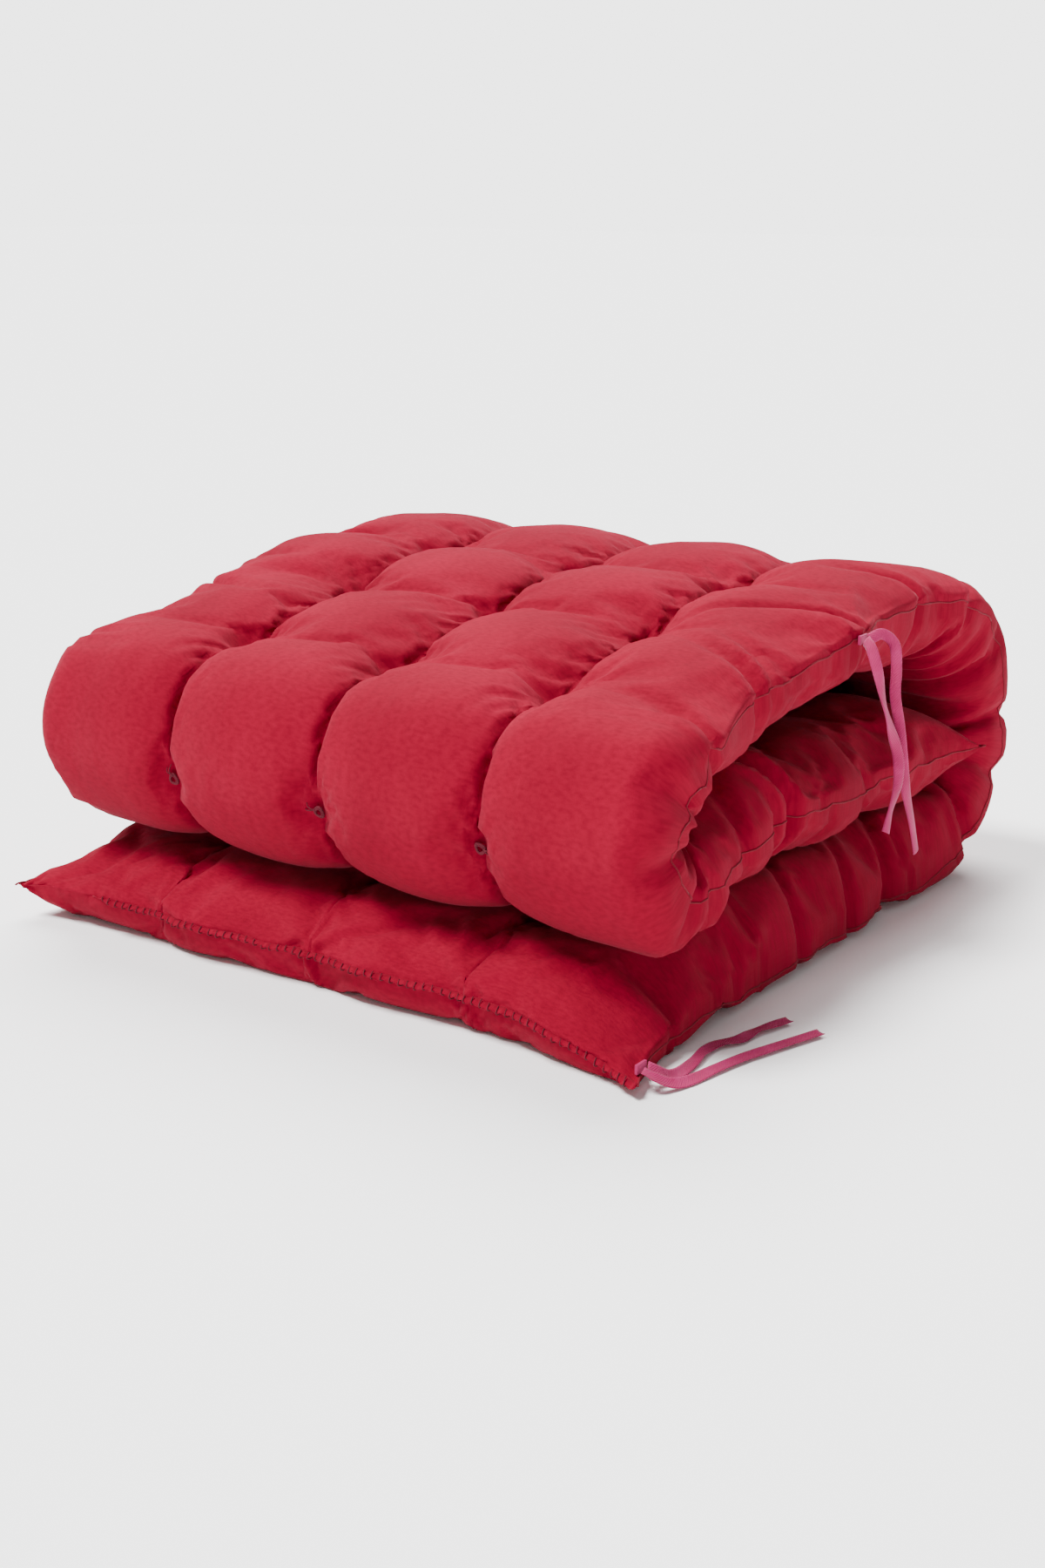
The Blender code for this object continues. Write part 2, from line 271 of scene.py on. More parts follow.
def wrinkles(s, x, side, curl):
    """Height of the small folds: stars round the tufts, puckers at seams and in the curls."""
    rng = np.random.default_rng(7 if side > 0 else 11)
    height = np.zeros_like(s)
    for row in TUFT_ROWS:
        for column in TUFT_COLUMNS:
            ds, dx = s - row, x - column
            r = np.hypot(ds, dx)
            angle = np.arctan2(ds, dx)
            folds, turn = rng.integers(5, 9), rng.uniform(0, 6.3)
            bend = 1.4 * noise_2d(s / 0.03 + row * 90, x / 0.03, 5)
            star = np.cos(folds * angle + turn + bend) + 0.5 * np.cos(2.3 * folds * angle + 2 * turn)
            height += 0.0012 * star * np.exp(-r / 0.028) * smooth_step(r, 0.006, 0.022)
            height -= 0.0060 * np.exp(-(r / 0.009) ** 1.2)
    edge = HALF_WIDTH - np.abs(x)
    along = s / 0.030 + 0.6 * noise_1d(s / 0.05, 3)
    pucker = np.where(x > 0, noise_1d(along, 21), noise_1d(along + 300, 22))
    sharp = -np.abs(pucker) ** 0.7 + 0.5
    height += (0.0055 + 0.0045 * curl) * sharp * np.exp(-edge / (0.030 + 0.020 * curl))
    if side > 0:
        waves = np.cos(2 * math.pi * s / 0.040 + 2.5 * noise_2d(s / 0.06, x / 0.12, 31))
        height += 0.0065 * curl * waves * (0.6 + 0.4 * noise_2d(s / 0.05, x / 0.07, 32))
    height += 0.0016 * noise_2d(s / 0.05, x / 0.05, 51)
    return height


def pinches(s, x, side):
    """The deep folds at the side seams: how far each sinks the cloth, and draws the seam in."""
    sunk, drawn = np.zeros_like(s), np.zeros_like(s)
    edge = HALF_WIDTH - np.abs(x)
    for place, end, face, depth, width, length, slant in PINCHES:
        reach = np.exp(-(edge / length) ** 2) * (x * end > 0)
        u = (s - place - slant * edge) / (width * (1 + 0.6 * edge / length))
        fold = (1 - 0.9 * u ** 2) * np.exp(-0.7 * u ** 2)
        if face == side:
            sunk += depth * fold * reach
        drawn += 0.7 * depth * np.exp(-u ** 2) * np.exp(-edge / 0.02) * (x * end > 0)
    return sunk, drawn


def seam_shift(s, x):
    """How far the side seams lie off the mid line, positive towards the inside of the fold."""
    back, front = curl_amounts(s)
    on_floor = 1 - smooth_step(s, S_BACK - 0.02, S_BACK + 0.10)
    shift = -(BASE_MID - SEAM_HEIGHT) * on_floor * smooth_step(s, 0.0, 0.20)
    shift = shift - 0.022 * back * (1 - on_floor) * (1 - smooth_step(s, s_back(110), s_back(170)))
    ripple = np.where(x > 0, noise_1d(s / 0.021, 71), noise_1d(s / 0.021 + 200, 72))
    top = between(s, S_TOP - 0.02, S_FRONT, 0.08)
    return shift + (0.002 + 0.006 * front + 0.003 * back) * ripple + 0.006 * front - 0.010 * top


def surface(s, x, side):
    """Points of one face of the pad: side 1 is the face inside the fold, -1 outside."""
    y, z, tangent = mid_line(s)
    back, front = curl_amounts(s)
    curl = back + front
    edge = HALF_WIDTH - np.abs(x)
    edge_round = EDGE_ROUND - 0.026 * curl * (side < 0)
    edge_round = edge_round + 0.05 * (1 - smooth_step(s, 0.08, 0.22)) * (side > 0)
    rounding = edge_profile(edge, edge_round, 0.54)
    front_round = FRONT_ROUND if side > 0 else 0.05
    wedge = edge_profile(s, front_round, 0.56) * edge_profile(S_END - s, END_ROUND, 0.6)
    # near the free edge the pillows even out into one smooth wedge
    columns, rows = tuft_distances(s, x)
    fullness = pillow(s, columns)
    smooth = 1 - smooth_step(s, 0.02, 0.15)
    evened = 0.93 if side > 0 else 1.0
    fullness = fullness * (1 - evened * smooth) + evened * 0.75 * smooth
    shallow = bump(s, FRONT_TUFTS, 0.035) * (side < 0)
    dimple = np.exp(-(np.hypot(columns, rows) / 0.020) ** 2) * (1 - smooth)
    fullness = fullness * (1 - 0.75 * (1 - 0.5 * shallow) * dimple)
    crown, tufted = CROWN - 0.008 * front, TUFTED
    if side < 0:
        top = between(s, S_TOP - 0.06, S_FRONT - 0.02, 0.10)
        nose = between(s, S_FRONT + 0.02, S_INNER, 0.08)
        crown = CROWN + (TOP_CROWN - CROWN) * top + (NOSE_CROWN - CROWN) * nose * (1 - top)
        crown = crown - 0.006 * smooth_step(-x, 0.16, HALF_WIDTH) * np.maximum(top, nose)
        tufted = TUFTED + (TOP_TUFTED - TUFTED) * top
    tufted = tufted + 0.013 * shallow
    half = tufted + (crown - tufted) * fullness
    sunk, drawn = pinches(s, x, side)
    height = wedge * rounding * (half + wrinkles(s, x, side, curl)) - sunk * rounding ** 0.5

    # the base's free edge lies low, and each seam is drawn off the mid line
    rise = 0.034 - 0.022 * np.exp(-((HALF_WIDTH - x) / 0.07) ** 2)
    droop = -(BASE_MID - rise) * (1 - smooth_step(s, 0.0, 0.17))
    seam = seam_shift(s, x) * (1 - edge_profile(edge, edge_round * 1.2, 0.5))
    offset = droop + seam + side * height

    # the seams pull in between the corners, which stay out as points
    pull = 0.009 * (1 - np.exp(-s / 0.045)) * (1 - np.exp(-(S_END - s) / 0.045)) * (1 - 1.3 * curl)
    pull = pull * (1 + 0.5 * noise_1d(s / 0.06 + 9, 61))
    pull = np.where(x > 0, pull - (pull + 0.001) * bump(s, s_top(TIE_Y), 0.03), pull)
    across = x * (1 - pull / HALF_WIDTH * (np.abs(x) / HALF_WIDTH) ** 6)
    near_end = np.hypot(edge, S_END - s)
    corner = np.where(x > 0, 1, 0.2) * np.exp(-np.hypot(edge, s) / 0.020)
    corner = corner + 1.6 * np.exp(-near_end / 0.035)
    across = across + np.sign(x) * 0.010 * corner
    across = across - np.sign(x) * drawn
    across = across - np.sign(x) * 0.0022 * np.exp(-(edge / 0.0018) ** 2) * (s > 0.02)
    end_pull = 0.010 * (1 - np.exp(-edge / 0.05)) * (1 + 0.6 * noise_1d(x / 0.07 + 5, 62))
    slide = end_pull * (np.exp(-s / 0.03) - np.exp(-(S_END - s) / 0.03))
    slide = slide - 0.008 * np.exp(-s / 0.02) * np.exp(-edge / 0.02) + 0.016 * np.exp(-near_end / 0.04)

    inward = np.stack([-tangent[..., 1], tangent[..., 0]], -1)
    yz = np.stack([y, z], -1) + slide[..., None] * tangent + offset[..., None] * inward
    return np.concatenate([across[..., None], yz], -1)


def contact_height(y):
    """Where the roll rests on the base, which thins out towards its free edge."""
    return CONTACT - 0.024 * (1 - smooth_step(y, -0.34, -0.20))


def settle(points, s, side):
    """Flatten the pad where it rests on the floor or on the layer below it."""
    points = points.copy()
    z = points[..., 2]
    contact = contact_height(points[..., 1])
    if side < 0:
        on_base = smooth_step(s, s_front(80), s_front(120))
        z = np.where(s < S_BACK + 0.12, soft_floor(z, 0.0006, 0.0015), z)
        rested = soft_floor(z, contact + REST_GAP, 0.003)
        z = np.where(on_base > 0, z * (1 - on_base) + on_base * rested, z)
    else:
        under = smooth_step(s, 0.05, 0.10) * (s < S_BACK + 0.05)
        pressed = soft_ceiling(z, contact - REST_GAP, 0.003)
        z = np.where(under > 0, z * (1 - under) + under * pressed, z)
    points[..., 2] = z
    return points


def length_axis():
    """Places along the pad, closer together at both free edges, with one on each cut."""
    def side(radius):
        steps = max(6, round(radius * 1.3 / CELL))
        return radius * (1 - np.cos(np.linspace(0, math.pi / 2, steps + 1)))
    first, last = side(0.055), S_END - side(0.070)[::-1]
    marks = [first[-1], *CUTS[1:-1], last[0]]
    runs = [first]
    for low, high in zip(marks, marks[1:]):
        runs.append(np.linspace(low, high, max(1, round((high - low) / CELL)) + 1)[1:])
    return np.concatenate([*runs, last[1:]])


def width_axis():
    """Places across the pad, closer together at the seams and the creases."""
    even = np.linspace(0, 1, PILLOW_POINTS + 1)
    share = 0.4 * even + 0.6 * (1 - np.cos(math.pi * even)) / 2
    marks = [-HALF_WIDTH, *TUFT_COLUMNS, HALF_WIDTH]
    runs = [low + (high - low) * share[:-1] for low, high in zip(marks, marks[1:])]
    return np.concatenate([*runs, [HALF_WIDTH]])


S_AXIS = length_axis()
X_AXIS = width_axis()
ROWS, COLUMNS = len(S_AXIS), len(X_AXIS)


def grid_corners(grid):
    """The four corners of each cell of a grid, in order round the cell."""
    return grid[:-1, :-1], grid[:-1, 1:], grid[1:, 1:], grid[1:, :-1]


def closed_faces():
    """Quads of both faces of the pad, the outside's first, sharing their points on the rim."""
    index = np.arange(ROWS * COLUMNS).reshape(ROWS, COLUMNS)
    twin = index + ROWS * COLUMNS
    twin[:, 0], twin[:, -1], twin[0], twin[-1] = index[:, 0], index[:, -1], index[0], index[-1]
    quads = []
    for grid, order in ((index, (3, 2, 1, 0)), (twin, (0, 1, 2, 3))):
        corners = grid_corners(grid)
        quads.append(np.stack([corners[k] for k in order], -1).reshape(-1, 4))
    return np.concatenate(quads)


QUADS = closed_faces()


def join_rim(outside, inside):
    """Bring the two faces together along the seam."""
    for rim in (np.s_[0], np.s_[-1], np.s_[:, 0], np.s_[:, -1]):
        middle = (outside[rim] + inside[rim]) / 2
        outside[rim] = middle
        inside[rim] = middle


def pad_grids():
    """Both faces of the pad as grids of points; they share their outline, the seam."""
    s, x = np.meshgrid(S_AXIS, X_AXIS, indexing="ij")
    outside, inside = surface(s, x, -1), surface(s, x, 1)
    join_rim(outside, inside)
    outside, inside = inflate(s, x, outside, inside)
    outside, inside = settle(outside, s, -1), settle(inside, s, 1)
    join_rim(outside, inside)
    return s, x, outside, inside


def inflate(s, x, outside, inside):
    """Blow the cover up as cloth, slightly too large for its filling, so that it creases."""
    start = np.concatenate([outside.reshape(-1, 3), inside.reshape(-1, 3)])
    used, quads = np.unique(QUADS, return_inverse=True)
    data = bpy.data.meshes.new("inflating")
    data.from_pydata(start[used].tolist(), [], quads.reshape(-1, 4).tolist())
    data.update()
    pad = bpy.data.objects.new("inflating", data)
    bpy.context.scene.collection.objects.link(pad)
    columns, rows = tuft_distances(s, x)
    tuft = np.exp(-(np.hypot(columns, rows) / 0.012) ** 2)
    edge = HALF_WIDTH - np.abs(x)
    crease = 0.5 * np.exp(-(columns / 0.006) ** 2) * smooth_step(s, 0.06, 0.15)
    hold = np.maximum(HOLD + 0.10 * (1 - smooth_step(s, 0.06, 0.16)), np.maximum(tuft, crease))
    hold = np.maximum(hold, 0.4 * np.exp(-(edge / 0.004) ** 2))
    weights = np.concatenate([hold.ravel(), hold.ravel()])[used]
    group = pad.vertex_groups.new(name="hold")
    levels = np.round(weights, 2)
    for level in np.unique(levels):
        group.add(np.flatnonzero(levels == level).tolist(), float(level), "REPLACE")
    modifier = pad.modifiers.new("cloth", "CLOTH")
    settings = modifier.settings
    settings.quality = 5
    settings.mass = 0.25
    settings.air_damping = 2.0
    settings.tension_stiffness = 20.0
    settings.compression_stiffness = 20.0
    settings.shear_stiffness = 6.0
    settings.bending_stiffness = 0.06
    settings.shrink_min = -CLOTH_EXCESS
    settings.vertex_group_mass = "hold"
    settings.pin_stiffness = 1.0
    settings.use_pressure = True
    settings.uniform_pressure_force = 1.2
    settings.effector_weights.gravity = 0.0
    modifier.collision_settings.use_collision = False
    modifier.point_cache.frame_start = 1
    modifier.point_cache.frame_end = SIM_FRAMES
    scene = bpy.context.scene
    for moment in range(1, SIM_FRAMES + 1):
        scene.frame_set(moment)
    result = pad.evaluated_get(bpy.context.evaluated_depsgraph_get()).data
    moved = np.empty(len(used) * 3)
    result.vertices.foreach_get("co", moved)
    shift = moved.reshape(-1, 3) - start[used]
    size = np.linalg.norm(shift, axis=1, keepdims=True)
    shift *= MAX_SHIFT * np.tanh(size / MAX_SHIFT) / np.maximum(size, 1e-9)
    start[used] += shift
    scene.frame_set(1)
    bpy.data.objects.remove(pad)
    bpy.data.meshes.remove(data)
    half = ROWS * COLUMNS
    return start[:half].reshape(ROWS, COLUMNS, 3), start[half:].reshape(ROWS, COLUMNS, 3)


def grid_normals(grid, side):
    """Unit normals pointing out of the pad."""
    normal = np.cross(np.gradient(grid, axis=1), np.gradient(grid, axis=0)) * side
    return normal / np.maximum(np.linalg.norm(normal, axis=-1, keepdims=True), 1e-12)


# ---------------------------------------------------------------- materials
def new_material(name):
    material = bpy.data.materials.new(name)
    material.use_nodes = True
    nodes = material.node_tree.nodes
    return material, nodes, material.node_tree.links, nodes["Principled BSDF"]


def add_noise(nodes, links, coordinates, scale, detail, stretch=(1, 1, 1)):
    mapping = nodes.new("ShaderNodeMapping")
    mapping.inputs["Scale"].default_value = stretch
    links.new(coordinates, mapping.inputs["Vector"])
    noise = nodes.new("ShaderNodeTexNoise")
    noise.inputs["Scale"].default_value = scale
    noise.inputs["Detail"].default_value = detail
    links.new(mapping.outputs["Vector"], noise.inputs["Vector"])
    return noise.outputs["Fac"]


def add_ramp(nodes, links, value, stops):
    ramp = nodes.new("ShaderNodeValToRGB")
    links.new(value, ramp.inputs["Fac"])
    elements = ramp.color_ramp.elements
    while len(elements) < len(stops):
        elements.new(0.5)
    for element, (place, colour) in zip(elements, stops):
        element.position = place
        element.color = (*colour, 1.0)
    return ramp.outputs["Color"]


def add_bump(nodes, links, height, strength, distance, under=None):
    bump = nodes.new("ShaderNodeBump")
    bump.inputs["Strength"].default_value = strength
    bump.inputs["Distance"].default_value = distance
    links.new(height, bump.inputs["Height"])
    if under is not None:
        links.new(under, bump.inputs["Normal"])
    return bump.outputs["Normal"]


def add_weave(nodes, links, coordinates, threads_per_metre):
    """Plain weave: two sets of thread ridges multiplied together."""
    ridges = []
    for direction in ("X", "Y"):
        wave = nodes.new("ShaderNodeTexWave")
        wave.wave_type = "BANDS"
        wave.bands_direction = direction
        wave.inputs["Scale"].default_value = threads_per_metre / math.pi
        wave.inputs["Distortion"].default_value = 1.2
        wave.inputs["Detail"].default_value = 1.0
        links.new(coordinates, wave.inputs["Vector"])
        ridges.append(wave.outputs["Fac"])
    product = nodes.new("ShaderNodeMath")
    product.operation = "MULTIPLY"
    links.new(ridges[0], product.inputs[0])
    links.new(ridges[1], product.inputs[1])
    return product.outputs["Value"]


def red_cotton():
    """Washed plain-weave cotton: slightly faded, soft creases, a short fuzzy nap."""
    material, nodes, links, shader = new_material("red_cotton")
    coordinates = nodes.new("ShaderNodeUVMap")
    coordinates.uv_map = "cloth"
    cloth = coordinates.outputs["UV"]
    mottle = add_noise(nodes, links, cloth, 9.0, 5.0)
    base = add_ramp(nodes, links, mottle, (
        (0.30, (0.172, 0.0003, 0.0122)),
        (0.52, (0.202, 0.0004, 0.0147)),
        (0.75, (0.232, 0.0007, 0.0182)),
    ))
    slub = add_noise(nodes, links, cloth, 420.0, 3.0, (1.0, 0.35, 1.0))
    fibre = add_ramp(nodes, links, slub, (
        (0.30, (0.82, 0.80, 0.80)), (0.55, (1.0, 1.0, 1.0)), (0.80, (1.10, 1.16, 1.16)),
    ))
    blend = nodes.new("ShaderNodeMix")
    blend.data_type = "RGBA"
    blend.blend_type = "MULTIPLY"
    blend.inputs["Factor"].default_value = 1.0
    links.new(base, blend.inputs["A"])
    links.new(fibre, blend.inputs["B"])
    links.new(blend.outputs["Result"], shader.inputs["Base Color"])

    crinkle = add_noise(nodes, links, cloth, 95.0, 4.0, (1.0, 0.6, 1.0))
    crease = add_noise(nodes, links, cloth, 26.0, 2.0, (0.5, 1.3, 1.0))
    weave = add_weave(nodes, links, cloth, 1500.0)
    normal = add_bump(nodes, links, crease, 0.35, 0.004)
    normal = add_bump(nodes, links, crinkle, 0.35, 0.0012, normal)
    normal = add_bump(nodes, links, weave, 0.25, 0.0002, normal)
    links.new(normal, shader.inputs["Normal"])
    shader.inputs["Roughness"].default_value = 0.92
    shader.inputs["Specular IOR Level"].default_value = 0.06
    shader.inputs["Sheen Weight"].default_value = 0.05
    shader.inputs["Sheen Roughness"].default_value = 0.55
    shader.inputs["Sheen Tint"].default_value = (1.0, 0.36, 0.44, 1.0)
    return material


def thread_material(name, colour, light):
    """Twisted cotton thread that varies between two colours."""
    material, nodes, links, shader = new_material(name)
    coordinates = nodes.new("ShaderNodeTexCoord").outputs["Object"]
    twist = add_noise(nodes, links, coordinates, 900.0, 2.0)
    shade = add_ramp(nodes, links, twist, ((0.3, colour), (0.75, light)))
    links.new(shade, shader.inputs["Base Color"])
    links.new(add_bump(nodes, links, twist, 0.5, 0.0004), shader.inputs["Normal"])
    shader.inputs["Roughness"].default_value = 0.85
    shader.inputs["Specular IOR Level"].default_value = 0.2
    return material


def tape_material():
    """Pink twill tape: fine slanted ribs, unevenly faded."""
    material, nodes, links, shader = new_material("pink_tape")
    uv = nodes.new("ShaderNodeUVMap")
    uv.uv_map = "cloth"
    cloth = uv.outputs["UV"]
    fade = add_noise(nodes, links, cloth, 40.0, 4.0)
    colour = add_ramp(nodes, links, fade, (
        (0.25, (0.29, 0.004, 0.062)), (0.55, (0.36, 0.008, 0.090)), (0.80, (0.44, 0.022, 0.130)),
    ))
    links.new(colour, shader.inputs["Base Color"])
    ribs = nodes.new("ShaderNodeTexWave")
    ribs.bands_direction = "DIAGONAL"
    ribs.inputs["Scale"].default_value = 260.0
    ribs.inputs["Distortion"].default_value = 0.6
    links.new(cloth, ribs.inputs["Vector"])
    links.new(add_bump(nodes, links, ribs.outputs["Fac"], 0.6, 0.0005), shader.inputs["Normal"])
    shader.inputs["Roughness"].default_value = 0.75
    shader.inputs["Specular IOR Level"].default_value = 0.3
    shader.inputs["Sheen Weight"].default_value = 0.15
    shader.inputs["Sheen Roughness"].default_value = 0.4
    return material


# ---------------------------------------------------------------- mesh helpers
def mesh_object(name, points, faces, material, uv=None):
    """A smooth-shaded object; uv, when given, holds one pair for each point."""
    data = bpy.data.meshes.new(name)
    data.from_pydata([tuple(point) for point in points], [], faces)
    data.update()
    data.shade_smooth()
    if uv is not None:
        layer = data.uv_layers.new(name="cloth")
        corners = np.empty(len(data.loops), int)
        data.loops.foreach_get("vertex_index", corners)
        layer.data.foreach_set("uv", np.asarray(uv, np.float32)[corners].ravel())
    data.materials.append(material)
    piece = bpy.data.objects.new(name, data)
    bpy.context.scene.collection.objects.link(piece)
    return piece


def tube_mesh(path, radius, sides=8, closed=False):
    """Points and faces of a round tube along a path."""
    path = np.asarray(path, float)
    count = len(path)
    if closed:
        tangents = np.roll(path, -1, 0) - np.roll(path, 1, 0)
    else:
        tangents = np.gradient(path, axis=0)
    tangents /= np.linalg.norm(tangents, axis=1, keepdims=True)
    normal = np.cross(tangents[0], (0.31, 0.52, 0.79))
    normals = []
    for tangent in tangents:
        normal = normal - tangent * (normal @ tangent)
        normal = normal / np.linalg.norm(normal)
        normals.append(normal)
    normals = np.array(normals)
    binormals = np.cross(tangents, normals)
    radius = np.broadcast_to(radius, (count,))
    angles = np.arange(sides) * 2 * math.pi / sides
    ring = (np.cos(angles)[None, :, None] * normals[:, None]
            + np.sin(angles)[None, :, None] * binormals[:, None])
    points = (path[:, None] + ring * radius[:, None, None]).reshape(-1, 3)
    faces = []
    for i in range(count if closed else count - 1):
        j = (i + 1) % count
        for k in range(sides):
            m = (k + 1) % sides
            faces.append((i * sides + k, i * sides + m, j * sides + m, j * sides + k))
    if not closed:
        faces.append(tuple(range(sides))[::-1])
        faces.append(tuple((count - 1) * sides + k for k in range(sides)))
    return points, faces


def join_parts(parts):
    """One list of points and faces from several."""
    points, faces, offset = [], [], 0
    for part_points, part_faces in parts:
        points.append(part_points)
        faces += [tuple(index + offset for index in face) for face in part_faces]
        offset += len(part_points)
    return np.concatenate(points), faces


def smooth_route(route, spacing):
    """Evenly spaced points on the Catmull-Rom curve through a route's own points."""
    knots = [Vector(point) for point in route]
    knots = [2 * knots[0] - knots[1], *knots, 2 * knots[-1] - knots[-2]]
    fine = []
    for a, b, c, d in zip(knots, knots[1:], knots[2:], knots[3:]):
        for k in range(16):
            t = k / 16
            fine.append(0.5 * (2 * b + (c - a) * t + (2 * a - 5 * b + 4 * c - d) * t ** 2
                               + (3 * b - 3 * c + d - a) * t ** 3))
    fine.append(knots[-2])
    fine = np.array(fine)
    travelled = np.concatenate([[0], np.cumsum(np.linalg.norm(np.diff(fine, axis=0), axis=1))])
    count = max(4, round(travelled[-1] / spacing))
    even = np.linspace(0, travelled[-1], count + 1)
    return np.stack([np.interp(even, travelled, fine[:, k]) for k in range(3)], -1)


# ---------------------------------------------------------------- camera, light and floor
# Height of a direction where the horizon's white starts and ends fading, then both brightnesses
WORLD_GLOW = (0.085, 0.16, 3.6, 0.36)


def add_camera():
    """The camera stands right of the roll's front, and looks down on it."""
    camera = bpy.data.objects.new("camera", bpy.data.cameras.new("camera"))
    bpy.context.scene.collection.objects.link(camera)
    camera.location = (1.1357, -1.6287, 0.6947)
    camera.rotation_euler = (math.radians(90 - 16.602), 0.0, math.radians(35.303))
    camera.data.lens = 47.2
    camera.data.sensor_width = 36.0
    bpy.context.scene.camera = camera


def add_sun(name, origin, strength, softness):
    """A distant light shining from origin towards the pad; softness is its width in degrees."""
    data = bpy.data.lights.new(name, "SUN")
    data.energy = strength
    data.angle = math.radians(softness)
    light = bpy.data.objects.new(name, data)
    bpy.context.scene.collection.objects.link(light)
    light.rotation_euler = Vector(origin).to_track_quat("Z", "Y").to_euler()


def add_studio():
    """A pale studio: white up to just above the horizon, dimmer overhead, lit by two soft suns."""
    world = bpy.data.worlds.new("studio")
    bpy.context.scene.world = world
    world.use_nodes = True
    nodes, links = world.node_tree.nodes, world.node_tree.links
    direction = nodes.new("ShaderNodeTexCoord").outputs["Generated"]
    split = nodes.new("ShaderNodeSeparateXYZ")
    links.new(direction, split.inputs["Vector"])
    glow = nodes.new("ShaderNodeMapRange")
    for name, value in zip(("From Min", "From Max", "To Min", "To Max"), WORLD_GLOW):
        glow.inputs[name].default_value = value
    links.new(split.outputs["Z"], glow.inputs["Value"])
    background = nodes["Background"]
    background.inputs["Color"].default_value = (1.0, 1.0, 1.0, 1.0)
    links.new(glow.outputs["Result"], background.inputs["Strength"])
    add_sun("key", (-0.55, -0.55, 1.50), 6.9, 20.0)
    add_sun("top", (-0.45, 0.80, 1.10), 6.0, 40.0)
    bpy.ops.mesh.primitive_plane_add(size=40.0, location=(0, 0, -0.0005))
    floor = bpy.context.object
    floor.name = "floor"
    material, _, _, shader = new_material("pale_floor")
    shader.inputs["Base Color"].default_value = (0.97, 0.97, 0.97, 1.0)
    shader.inputs["Roughness"].default_value = 0.9
    floor.data.materials.append(material)


# ---------------------------------------------------------------- tape ties
TAPE_WIDTH = 0.0100
TAPE_THICKNESS = 0.0007
TAPE_STEP = 0.0025         # spacing of its points along its length
TAPE_CUP = 0.0010          # how far its middle bows out
LYING = 0.0036             # height of its middle where it lies on the floor
# Each tail: its body, its route, and how far its flat side turns along it, in degrees
TIE_TAILS = {
    "side_tie_tail_1": ("top", (
        (0.3560, -0.002, 0.297), (0.3655, -0.009, 0.291), (0.3740, -0.012, 0.272),
        (0.3780, -0.007, 0.247), (0.3800, 0.007, 0.218), (0.3820, 0.021, 0.190),
        (0.3830, 0.022, 0.165), (0.3840, 0.007, 0.142), (0.3850, -0.003, 0.124),
    ), (80, 60, 10, -20, 20, 75, 35, -10, 20)),
    "side_tie_tail_2": ("top", (
        (0.3560, 0.005, 0.297), (0.3640, 0.014, 0.301), (0.3730, 0.021, 0.291),
        (0.3770, 0.019, 0.270), (0.3790, 0.015, 0.247), (0.3810, 0.023, 0.218),
        (0.3820, 0.030, 0.190), (0.3840, 0.037, 0.155), (0.3855, 0.051, 0.120),
        (0.3860, 0.063, 0.088),
    ), (90, 70, 80, 70, 85, 60, 40, 10, 0, 0)),
    "corner_tie_tail_1": ("base", (
        (0.3560, -0.3555, 0.018), (0.3615, -0.348, 0.013), (0.3645, -0.336, 0.006),
        (0.3655, -0.321, LYING), (0.3640, -0.300, LYING), (0.3600, -0.277, LYING),
        (0.3620, -0.255, LYING), (0.3720, -0.237, LYING), (0.3740, -0.215, LYING),
        (0.3800, -0.195, LYING), (0.3860, -0.177, LYING),
    ), (60, 50, 40, 20, -15, 20, -10, 30, -20, 10, 0)),
    "corner_tie_tail_2": ("base", (
        (0.3560, -0.364, 0.018), (0.3660, -0.360, 0.013), (0.3740, -0.348, 0.006),
        (0.3800, -0.330, LYING), (0.3850, -0.300, LYING), (0.3920, -0.269, LYING),
        (0.4010, -0.241, LYING), (0.4100, -0.214, LYING), (0.4200, -0.185, LYING),
    ), (60, 50, 30, 10, 8, 12, 6, 4, 4)),
}
TIE_TACKS = {"side_tie_tail_1": "side_tie_tack", "corner_tie_tail_1": "corner_tie_tack"}


